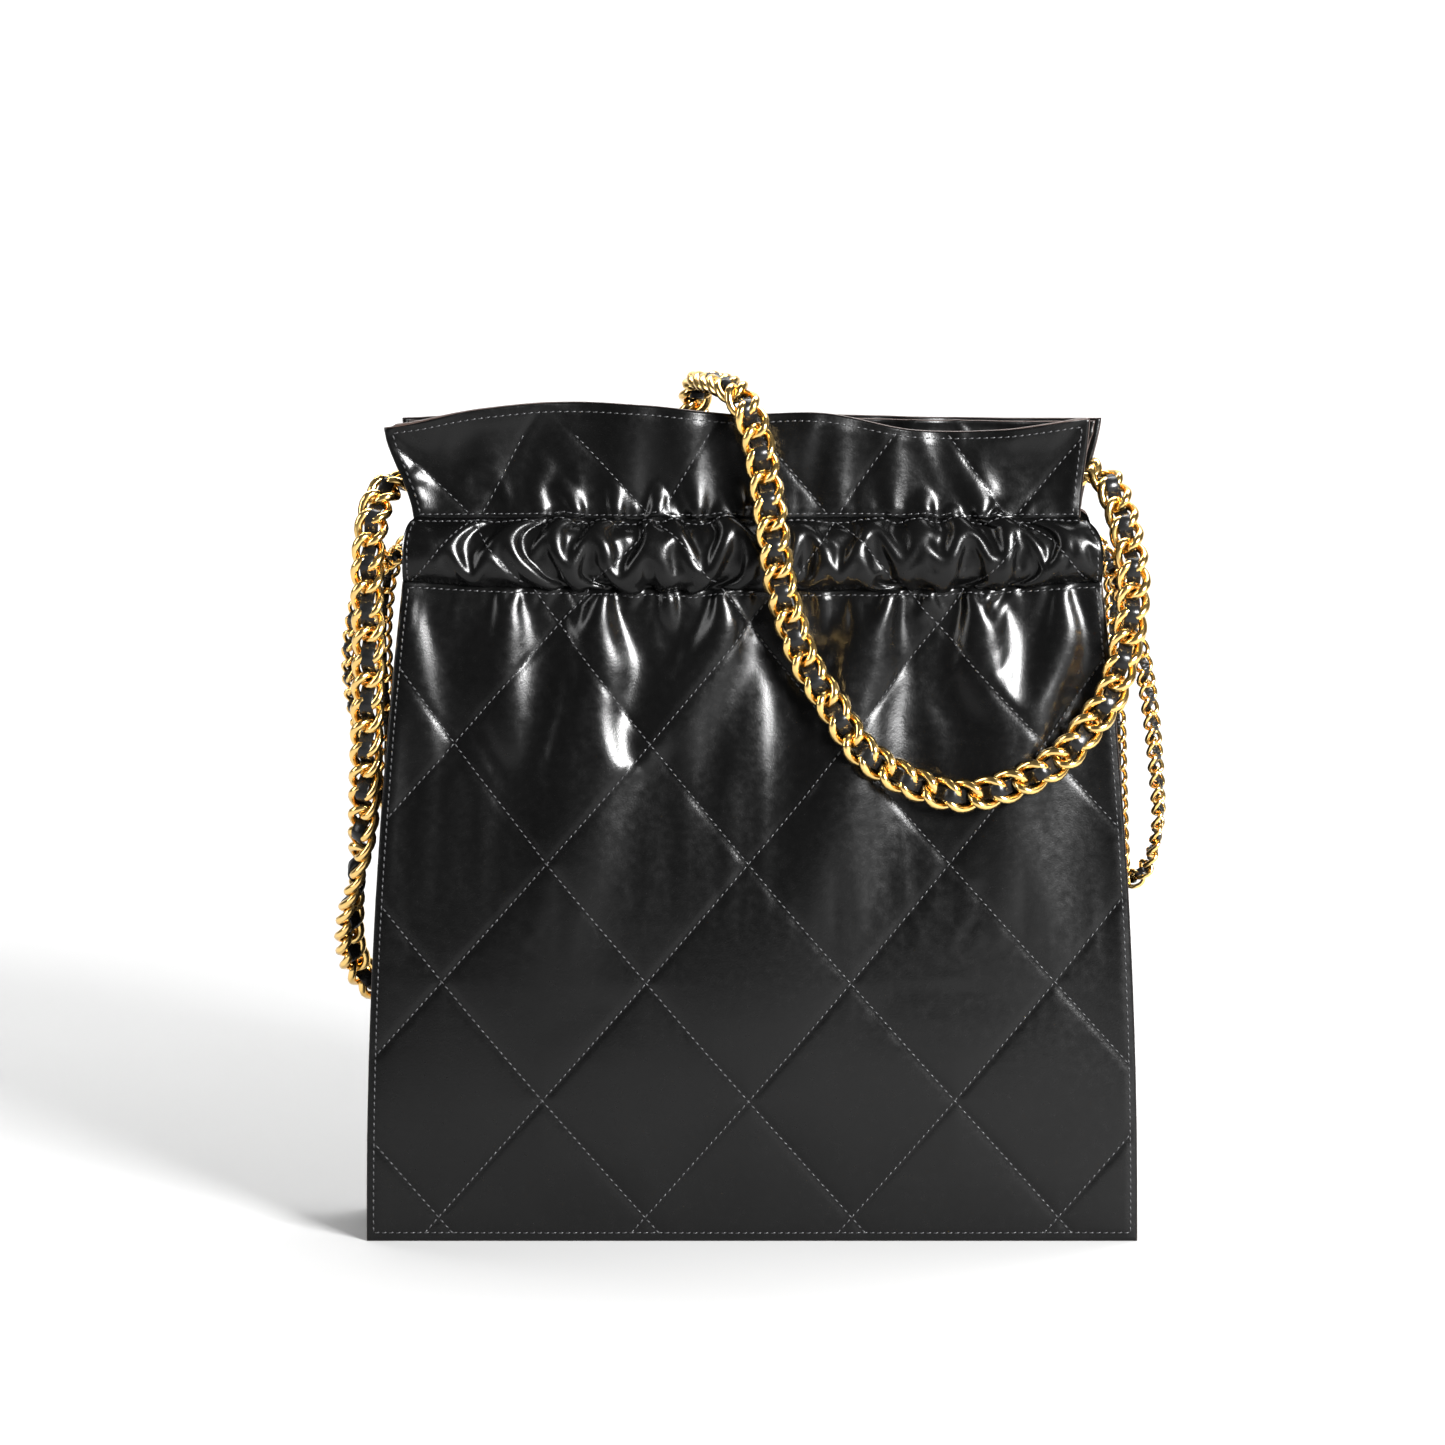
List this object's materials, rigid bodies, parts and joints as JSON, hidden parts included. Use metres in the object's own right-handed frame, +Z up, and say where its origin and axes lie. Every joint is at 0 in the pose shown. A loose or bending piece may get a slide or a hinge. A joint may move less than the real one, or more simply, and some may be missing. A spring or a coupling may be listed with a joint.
{
  "type": "drawstring bag",
  "caption": "Quilted leather drawstring shoulder bag with a gathered top and gold chain straps laced with leather.",
  "frame": {"origin": "centre of the base's underside, on the surface that the bag stands on", "axes": "+Z up, front panel faces -Y, +X to the right seen from the front"},
  "size_m": [0.3804, 0.1063, 0.3936],
  "materials": {
    "black_calf": "gloss",
    "padding": "matte",
    "lining": "matte",
    "board": "matte",
    "chain_and_lace": "polished",
    "gold_metal": "polished",
    "zip_tape": "matte"
  },
  "bodies": {
    "bag_body": {"front_panel": "black_calf", "back_panel": "black_calf", "left_gusset": "black_calf", "right_gusset": "black_calf", "base_panel": "black_calf", "front_casing": "black_calf", "back_casing": "black_calf", "left_gusset_top": "black_calf", "right_gusset_top": "black_calf", "left_strap_tab": "black_calf", "right_strap_tab": "black_calf", "pocket_welt": "black_calf", "front_padding": "padding", "back_padding": "padding", "lining_bag": "lining", "pocket_pouch": "lining", "base_board": "board", "shoulder_chain_front": "chain_and_lace", "shoulder_chain_back": "chain_and_lace", "drawstring_left_loop": "chain_and_lace", "drawstring_right_loop": "chain_and_lace", "drawstring_front_run": "chain_and_lace", "drawstring_back_run": "chain_and_lace", "left_strap_ring": "gold_metal", "right_strap_ring": "gold_metal", "zip_stop_left": "gold_metal", "zip_stop_right": "gold_metal", "zip_tape_lower": "zip_tape", "zip_tape_upper": "zip_tape"},
    "front_top": {"front_top_band": "black_calf", "front_top_facing": "black_calf"},
    "back_top": {"back_top_band": "black_calf", "back_top_facing": "black_calf"},
    "zip_slider_body": {"zip_slider": "gold_metal"},
    "zip_pull_body": {"zip_pull": "gold_metal"}
  },
  "joints": [
    {"name": "front_top_fold", "type": "hinge", "parent": "bag_body", "child": "front_top", "pos_m": [0, -0.0265, 0.329], "axis": [1, 0, 0], "range_deg": [-20, 20], "stiffness_Nm_per_rad": 0.06, "deforming": ["left_gusset_top", "right_gusset_top", "shoulder_chain_front", "shoulder_chain_back"]},
    {"name": "back_top_fold", "type": "hinge", "parent": "bag_body", "child": "back_top", "pos_m": [0, 0.0265, 0.329], "axis": [-1, 0, 0], "range_deg": [-20, 20], "stiffness_Nm_per_rad": 0.06},
    {"name": "zip_slide", "type": "slide", "parent": "bag_body", "child": "zip_slider_body", "axis": [1, 0, 0], "range_m": [0, 0.14]},
    {"name": "zip_pull_swing", "type": "hinge", "parent": "zip_slider_body", "child": "zip_pull_body", "pos_m": [-0.07, 0.0185, 0.255], "axis": [-1, 0, 0], "range_deg": [0, 110]}
  ],
  "couplings": [
    {"joint": "back_top_fold", "follows": "front_top_fold", "ratio": 1}
  ]
}
